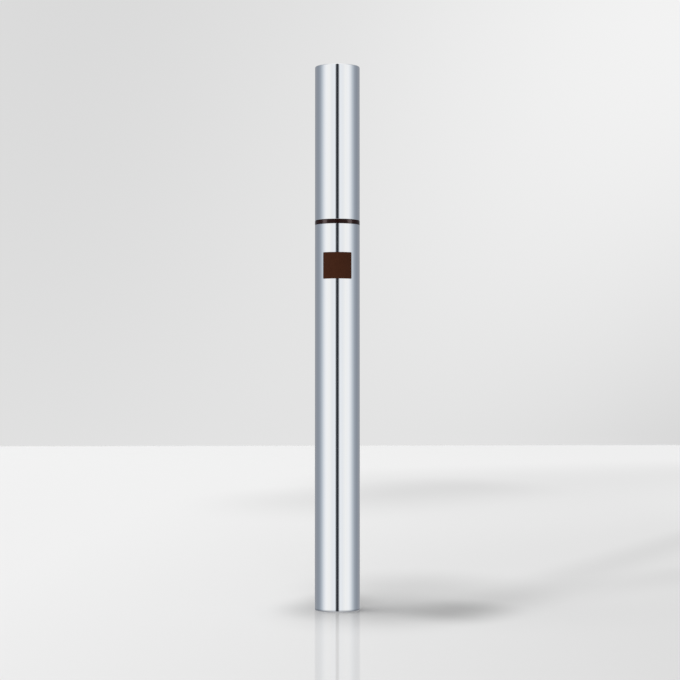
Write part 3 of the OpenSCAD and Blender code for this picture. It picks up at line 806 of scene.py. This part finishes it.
def white_plastic():
    """Moulded white, stained where the ink creeps along it."""
    made, tree, shader = finish("white_plastic")
    creep = grain(tree, 900, (1, 1, 0.35), 4.0, 0.6)
    stained = spread(tree, creep, 0.60, 0.74, 0.0, 0.55)
    white = toned(tree, grain(tree, 350), WHITE_TONES)
    white = blend(tree, stained, white, WHITE_INKED)
    surface(tree, shader, white, vary(tree, grain(tree, 2600), 0.36, 0.50), creep, 0.000004)
    return made


def stained_fibre():
    """Pressed fibre, soaked with ink: fine threads along the pen, paler where it has dried."""
    made, tree, shader = finish("stained_fibre", specular_ior_level=0.3)
    threads = grain(tree, 11000, (1, 1, 0.05), 3.0, 0.6)
    soaked = grain(tree, 1300, (1, 1, 0.4), 3.0)
    dark = blend(tree, spread(tree, threads, 0.35, 0.65), *FIBRE_TONES)
    dark = blend(tree, spread(tree, soaked, 0.5, 0.7, 0.0, 0.5), dark, FIBRE_DRY)
    surface(tree, shader, dark, vary(tree, threads, 0.62, 0.85), threads, 0.00001)
    return made


def ball_steel():
    """Polished stainless steel with hairline scratches."""
    made, tree, shader = finish("ball_steel", metallic=1.0)
    hair = grain(tree, 4000, (1, 0.08, 0.3), 3.0)
    steel = toned(tree, hair, BALL_TONES)
    surface(tree, shader, steel, vary(tree, hair, 0.05, 0.14), hair, 0.0000003)
    return made


def spring_steel():
    """Drawn stainless wire, slightly dull between its turns."""
    made, tree, shader = finish("spring_steel", metallic=1.0)
    drawn = grain(tree, 5000, detail=3.0)
    steel = toned(tree, drawn, WIRE_TONES)
    surface(tree, shader, steel, vary(tree, drawn, 0.20, 0.34), drawn, 0.000001)
    return made


# ---- Camera ----

# The photograph's side and its focal length in pixels. Its camera is level, and this one is pitched
# instead of shifted, so that the pen stays in the middle of every view.
PHOTO_PIXELS = 680
FOCAL_PIXELS = 1942.7
SENSOR_WIDTH = 36
CAMERA_PLACE = (0.000648, -0.4752, 0.0488)
CAMERA_PITCH = 2.052

camera_data = bpy.data.cameras.new("camera")
camera_data.sensor_width = SENSOR_WIDTH
camera_data.lens = SENSOR_WIDTH * FOCAL_PIXELS / PHOTO_PIXELS
camera = bpy.data.objects.new("camera", camera_data)
camera.location = CAMERA_PLACE
camera.rotation_euler = (math.radians(90 + CAMERA_PITCH), 0, 0)
bpy.context.scene.collection.objects.link(camera)
bpy.context.scene.camera = camera
bpy.context.scene.view_settings.view_transform = "Standard"

# ---- Pieces ----

metal = satin_metal()
film = shade_film()
band = shade_plastic()
black = black_plastic()
natural = natural_plastic()
clear = clear_plastic()
white = white_plastic()
fibre = stained_fibre()
polished = ball_steel()
wire = spring_steel()


def dress(made, material, body, node):
    """Gives a new piece its material and its body, and hides the CAD node that it stands for."""
    made.data.materials.append(material)
    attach(made, body)
    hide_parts(node)
    return made


barrel_line = shell_section(RING_FOOT)
cap_line = shell_section(PEN_TOP - CAP_RIM) * (1, -1) + (0, PEN_TOP)

for name, points, closed, material, slot, body, node in (
        ("barrel_sleeve", turned(barrel_line), False, metal, "satin_metal", "barrel", "barrel_shell"),
        ("cap_sleeve", turned(cap_line), False, metal, "satin_metal", "cap", "cap_shell"),
        ("shade_band", turned(ring_section()), True, band, "shade_plastic", "barrel", "shade_ring"),
        ("tank_tube", tank_points(), True, clear, "clear_plastic", "barrel", "ink_tank"),
        ("stopper", turned(plug_section()), False, natural, "natural_plastic", "barrel", "tail_plug"),
        ("ball_left", ball_points(-1), False, polished, "ball_steel", "ball_1", "mixing_ball_1"),
        ("ball_right", ball_points(1), False, polished, "ball_steel", "ball_2", "mixing_ball_2"),
        ("nozzle_section", turned(front_section()), True, black, "black_plastic", "barrel", "front_section"),
        ("finned_buffer", collector_points(), True, white, "white_plastic", "barrel", "collector"),
        ("core_rod", turned(core_section(), around(96)), False, fibre, "stained_fibre", "barrel", "relay_core"),
        ("nib_bush", holder_points(), True, white, "white_plastic", "barrel", "nib_holder"),
        ("nib", turned(nib_section(), around(96)), False, fibre, "stained_fibre", "barrel", "fibre_nib"),
        ("cap_lining", liner_points(), True, natural, "natural_plastic", "cap", "cap_liner"),
        ("sealing_cup", turned(cup_section()), False, white, "white_plastic", "inner_cap", "inner_cap")):
    dress(piece(name, points, loop=closed), material, body, node)

dress(piece("shade_patch", label_points(), crease=60), film, "barrel", "shade_label")
spring = dress(piece("spring", spring_points(), crease=60), wire, "cap", "inner_cap_spring")
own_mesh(spring)

# ---- Floor ----

# How far the floor reaches, the share of that at which it starts to fade, its turn in degrees, the share
# of light that its mirror gives back, the mirror's roughness, and the power that makes its far side
# nearly straight
FLOOR_R = 2.21
FLOOR_FADE = 0.945
FLOOR_TURN = -6
FLOOR_MIRROR = 0.17
FLOOR_ROUGHNESS = 0.05
FLOOR_CORNERS = 8
FLOOR_RINGS = (0, 0.05, 0.2, 0.6, 1.2, 1.45 * FLOOR_R)

# The floor's tones, painted shade that darkens it to the right in front: depths over which the front ones
# give way to the far ones, and for each the place from side to side and the tone there
TONE_DEPTHS = (-0.797, 1.011)
FRONT_TONES = ((-0.0957, 0.907), (0.1434, 0.515))
FAR_TONES = ((-0.756, 0.951), (0.267, 0.893))

# Streaks of shade: start, end, how wide they are across and in depth, and the share of light that is left
FLOOR_SHADES = (
    ((0.0081, -0.0031), (0.0109, 0.0008), (0.0314, 0.0579), 0.735),
    ((0.0224, 0.0480), (0.0244, 0.0496), (0.0415, 0.0843), 0.803),
    ((0.0004, 0.0200), (-0.0044, 0.0018), (0.0135, 0.0325), 0.755),
    ((0.0316, -0.0019), (0.145, 0.297), (0.0167, 0.0312), 0.910),
    ((0.0444, 0.765), (0.440, 1.124), (0.0972, 0.465), 0.894),
    ((-0.0141, 0.568), (0.0757, 0.742), (0.0755, 0.229), 0.894),
    ((0.0276, -0.0077), (0.0313, 0.0009), (0.0169, 0.0307), 0.712),
    ((0.0130, -0.0154), (0.107, 0.108), (0.0218, 0.0307), 0.938),
)


def tone_across(tree, side, tones):
    """Grey that changes evenly from the left place's tone to the right one's."""
    (left, first), (right, last) = tones
    return blend(tree, spread(tree, side, left, right, smooth=False), (first, first, first, 1),
                 (last, last, last, 1))


def shade_along(tree, place, start, end, width, shade):
    """Soft streak of shade on the floor, 1 outside and falling to shade along the line from start to end.

    A place is held to the nearest point of that line, and the way between them is measured in widths,
    which differ from side to side and in depth.
    """
    line = [(b - a) / wide for a, b, wide in zip(start, end, width)]
    way = vector(tree, "SUBTRACT", place, (*start, 0)).outputs[0]
    way = vector(tree, "DIVIDE", way, (*width, 1)).outputs[0]
    along = vector(tree, "DOT_PRODUCT", way, (*line, 0)).outputs["Value"]
    along = spread(tree, along, 0.0, math.fsum(v * v for v in line), smooth=False)
    held = add(tree, "ShaderNodeVectorMath", {0: (*line, 0), "Scale": along}, operation="SCALE").outputs[0]
    away = vector(tree, "LENGTH", vector(tree, "SUBTRACT", way, held).outputs[0]).outputs["Value"]
    return spread(tree, away, 0.0, 1.0, shade, 1.0)


def floor_material():
    """Pale surface with a faint mirror in it, with painted shade that darkens it to the right in front and soft
    streaks of painted shadow.

    It ends far behind in a nearly straight line: with n for FLOOR_CORNERS, the distance from the middle
    is (x^n + y^n)^(1/n). From below it is clear.
    """
    made = bpy.data.materials.new("floor")
    made.use_nodes = True
    tree = made.node_tree
    tree.nodes.clear()
    place = add(tree, "ShaderNodeTexCoord").outputs["Object"]
    side, depth, _ = add(tree, "ShaderNodeSeparateXYZ", {0: place}).outputs
    # Painted shade: the floor's tones darken it to the right in front
    near_front = spread(tree, depth, *TONE_DEPTHS, 1.0, 0.0)
    shaded = blend(tree, near_front, tone_across(tree, side, FAR_TONES), tone_across(tree, side, FRONT_TONES))
    for streak in FLOOR_SHADES:
        shaded = vector(tree, "MULTIPLY", shaded, shade_along(tree, place, *streak)).outputs[0]
    matt = add(tree, "ShaderNodeBsdfDiffuse", {"Color": shaded}).outputs[0]
    gloss = add(tree, "ShaderNodeBsdfGlossy", {"Color": (1, 1, 1, 1), "Roughness": FLOOR_ROUGHNESS}).outputs[0]
    face = add(tree, "ShaderNodeMixShader", {0: FLOOR_MIRROR, 1: matt, 2: gloss}).outputs[0]
    turned_place = add(tree, "ShaderNodeMapping", {"Vector": place,
                                                   "Rotation": (0, 0, math.radians(FLOOR_TURN))}).outputs[0]
    across, along, _ = add(tree, "ShaderNodeSeparateXYZ", {0: turned_place}).outputs
    away = calc(tree, "ADD", *(calc(tree, "POWER", calc(tree, "ABSOLUTE", part), FLOOR_CORNERS)
                               for part in (across, along)))
    away = calc(tree, "POWER", away, 1 / FLOOR_CORNERS)
    gone = spread(tree, away, FLOOR_R * FLOOR_FADE, FLOOR_R)
    under = add(tree, "ShaderNodeNewGeometry").outputs["Backfacing"]
    gone = calc(tree, "MAXIMUM", gone, under)
    clear_away = add(tree, "ShaderNodeBsdfTransparent").outputs[0]
    mixed = add(tree, "ShaderNodeMixShader", {0: gone, 1: face, 2: clear_away}).outputs[0]
    add(tree, "ShaderNodeOutputMaterial", {"Surface": mixed})
    return made


def floor_points():
    """Flat disc: rings of growing radius about the pen, at height 0."""
    r = np.array(FLOOR_RINGS)
    return turned(np.column_stack([r, 0 * r]), around(96))


floor = piece("floor", floor_points())
floor.data.materials.append(floor_material())
floor.visible_glossy = False
if floor.data.polygons[0].normal.z < 0:
    floor.data.flip_normals()

# ---- Room ----

# The wall that the eye sees: its tones from left to right above and below, the heights over which the
# lower ones give way to the upper ones, and the shade that crosses it on a slant, with the places where
# it starts and ends and the light that is left there
WALL_SIDE = 0.175
WALL_HIGH = ((0, 1.004), (0.5, 0.920), (1, 0.895))
WALL_LOW = ((0, 1.024), (0.5, 0.838), (1, 0.694))
WALL_RISE = (-0.012, 0.204)
WALL_RISE_POWER = 1.71
WALL_SLANT = 3.3
WALL_SHADE = (-0.445, 0.763, 1.0, 0.708)

# What reflections see round the pen: degrees from the front to either side, and the colour there
GAP_EDGE = 5.0
SCREEN_EDGE = 11.2
GAP_DARK = (0.030, 0.034, 0.041)
SCREENS = (
    (GAP_EDGE, GAP_DARK), (SCREEN_EDGE, (0.880, 0.920, 0.955)), (16, (0.920, 0.950, 0.972)),
    (27, (0.902, 0.922, 0.934)), (42, (1.000, 1.002, 0.978)), (59, (0.990, 1.002, 1.004)),
    (71.5, (0.821, 0.852, 0.882)), (84.7, (0.552, 0.607, 0.656)), (99.6, (0.350, 0.388, 0.438)),
    (117, (0.276, 0.310, 0.355)), (141, (0.315, 0.333, 0.367)), (166, (0.290, 0.312, 0.345)),
    (169.5, (0.765, 0.765, 0.765)), (180, (0.780, 0.780, 0.780)))
CEILING = (
    (0, (0.960, 0.965, 0.970)), (40, (0.940, 0.945, 0.950)), (85, (0.640, 0.655, 0.675)),
    (120, (0.600, 0.612, 0.628)), (150, (0.740, 0.750, 0.760)), (180, (0.860, 0.865, 0.870)))
OVERHEAD = (1.12, 1.12, 1.12, 1)
TABLE = (
    (GAP_EDGE, (0.44, 0.445, 0.45)), (SCREEN_EDGE, (0.80, 0.80, 0.81)), (35, (0.76, 0.77, 0.78)),
    (80, (0.50, 0.52, 0.54)), (110, (0.38, 0.39, 0.41)), (150, (0.42, 0.43, 0.45)),
    (180, (0.60, 0.61, 0.62)))

# Rises of a reflected ray over which one of them gives way to the next
SCREENS_TO_CEILING = (0.45, 0.78)
CEILING_TO_OVERHEAD = (0.86, 0.94)
SCREENS_TO_TABLE = (-0.14, -0.45)
GAP_ABOVE = (0.4, 0.5)

# Strength of the even light that falls on everything
EVEN_LIGHT = 0.32


def wall_seen(tree, x, z):
    """The pale wall, lighter at the upper right, by a ray's way across and up."""
    across = spread(tree, x, -WALL_SIDE, WALL_SIDE, smooth=False)
    high, low = (ramp(tree, across, [(place, (tone,) * 3) for place, tone in tones])
                 for tones in (WALL_HIGH, WALL_LOW))
    rise = calc(tree, "POWER", spread(tree, z, *WALL_RISE, 1.0, 0.0, smooth=False), WALL_RISE_POWER)
    slant = calc(tree, "SUBTRACT", z, calc(tree, "MULTIPLY", x, WALL_SLANT))
    shade = spread(tree, slant, *WALL_SHADE)
    return vector(tree, "MULTIPLY", blend(tree, rise, high, low), shade).outputs[0]


def room_mirrored(tree, x, y, z):
    """What reflections see: the screens with the gap between them, the ceiling and the table.

    Turn is the angle from the front to either side, as a share of half a circle.
    """
    turn = calc(tree, "ARCTAN2", x, calc(tree, "MULTIPLY", y, -1))
    turn = calc(tree, "DIVIDE", calc(tree, "ABSOLUTE", turn), math.pi)
    screens, ceiling, table = (ramp(tree, turn, stops, 180) for stops in (SCREENS, CEILING, TABLE))
    ceiling = blend(tree, spread(tree, z, *CEILING_TO_OVERHEAD), ceiling, OVERHEAD)
    screens = blend(tree, spread(tree, z, *SCREENS_TO_CEILING), screens, ceiling)
    gap = spread(tree, turn, GAP_EDGE / 180, SCREEN_EDGE / 180, 1.0, 0.0)
    gap = calc(tree, "MULTIPLY", gap, spread(tree, z, *GAP_ABOVE))
    screens = blend(tree, gap, screens, (*GAP_DARK, 1))
    return blend(tree, spread(tree, z, *SCREENS_TO_TABLE), screens, table)


def studio():
    """Room round the pen, by direction.

    The eye sees a pale wall. Reflections see two broad white screens in front with a narrow dark gap
    between them, grey sides and a paler back, a white ceiling, brightest overhead, and a grey table.
    All other light is even.
    """
    world = bpy.data.worlds.new("studio")
    world.use_nodes = True
    tree = world.node_tree
    tree.nodes.clear()
    way = add(tree, "ShaderNodeTexCoord").outputs["Generated"]
    x, y, z = add(tree, "ShaderNodeSeparateXYZ", {0: way}).outputs
    ray = add(tree, "ShaderNodeLightPath").outputs
    seen, mirrored, even = (
        add(tree, "ShaderNodeBackground", {"Color": colour, "Strength": strength}).outputs[0]
        for colour, strength in ((wall_seen(tree, x, z), 1.0), (room_mirrored(tree, x, y, z), 1.0),
                                 ((1, 1, 1, 1), EVEN_LIGHT)))
    glossy = calc(tree, "MAXIMUM", ray["Is Glossy Ray"], ray["Is Transmission Ray"])
    lit = add(tree, "ShaderNodeMixShader", {0: glossy, 1: even, 2: mirrored}).outputs[0]
    shown = add(tree, "ShaderNodeMixShader", {0: ray["Is Camera Ray"], 1: lit, 2: seen}).outputs[0]
    add(tree, "ShaderNodeOutputWorld", {"Surface": shown})
    world.cycles.sampling_method = "NONE"
    return world


bpy.context.scene.world = studio()

# ---- Lamps ----

# The strips: how far they stand from the pen, their width and height, their middle's height, the angle
# from the front to either side and the strength
STRIP_FAR = 0.8
STRIP_WIDTH = 0.34
STRIP_HEIGHT = 1.3
STRIP_LIFT = 0.3
STRIP_TURN = 67
STRIP_STRENGTH = 10.5


def lamp(name, towards, spread_degrees, strength):
    """Far soft light that shines along a direction, left out of reflections."""
    light = bpy.data.lights.new(name, "SUN")
    light.angle = math.radians(spread_degrees)
    light.energy = strength
    made = bpy.data.objects.new(name, light)
    made.rotation_euler = Vector(towards).to_track_quat("-Z", "Y").to_euler()
    made.visible_glossy = False
    bpy.context.scene.collection.objects.link(made)


def strip(name, turn_degrees, lit):
    """Tall soft strip beside the camera, whose gloss shows only on the pieces that it lights."""
    light = bpy.data.lights.new(name, "AREA")
    light.shape = "RECTANGLE"
    light.size, light.size_y = STRIP_WIDTH, STRIP_HEIGHT
    light.energy = STRIP_STRENGTH
    made = bpy.data.objects.new(name, light)
    turn = math.radians(turn_degrees)
    made.location = (STRIP_FAR * math.sin(turn), -STRIP_FAR * math.cos(turn), STRIP_LIFT)
    made.rotation_euler = (math.pi / 2, 0, turn)
    made.visible_camera = False
    made.light_linking.receiver_collection = lit
    bpy.context.scene.collection.objects.link(made)


lamp("overhead", (0.27, 0.0, -0.96), 38, 1.9)
lamp("front", (0.10, 0.95, -0.30), 30, 0.9)

dark_mouldings = bpy.data.collections.new("dark_mouldings")
for name in ("shade_band", "nozzle_section"):
    dark_mouldings.objects.link(bpy.data.objects[name])
strip("left_strip", -STRIP_TURN, dark_mouldings)
strip("right_strip", STRIP_TURN, dark_mouldings)
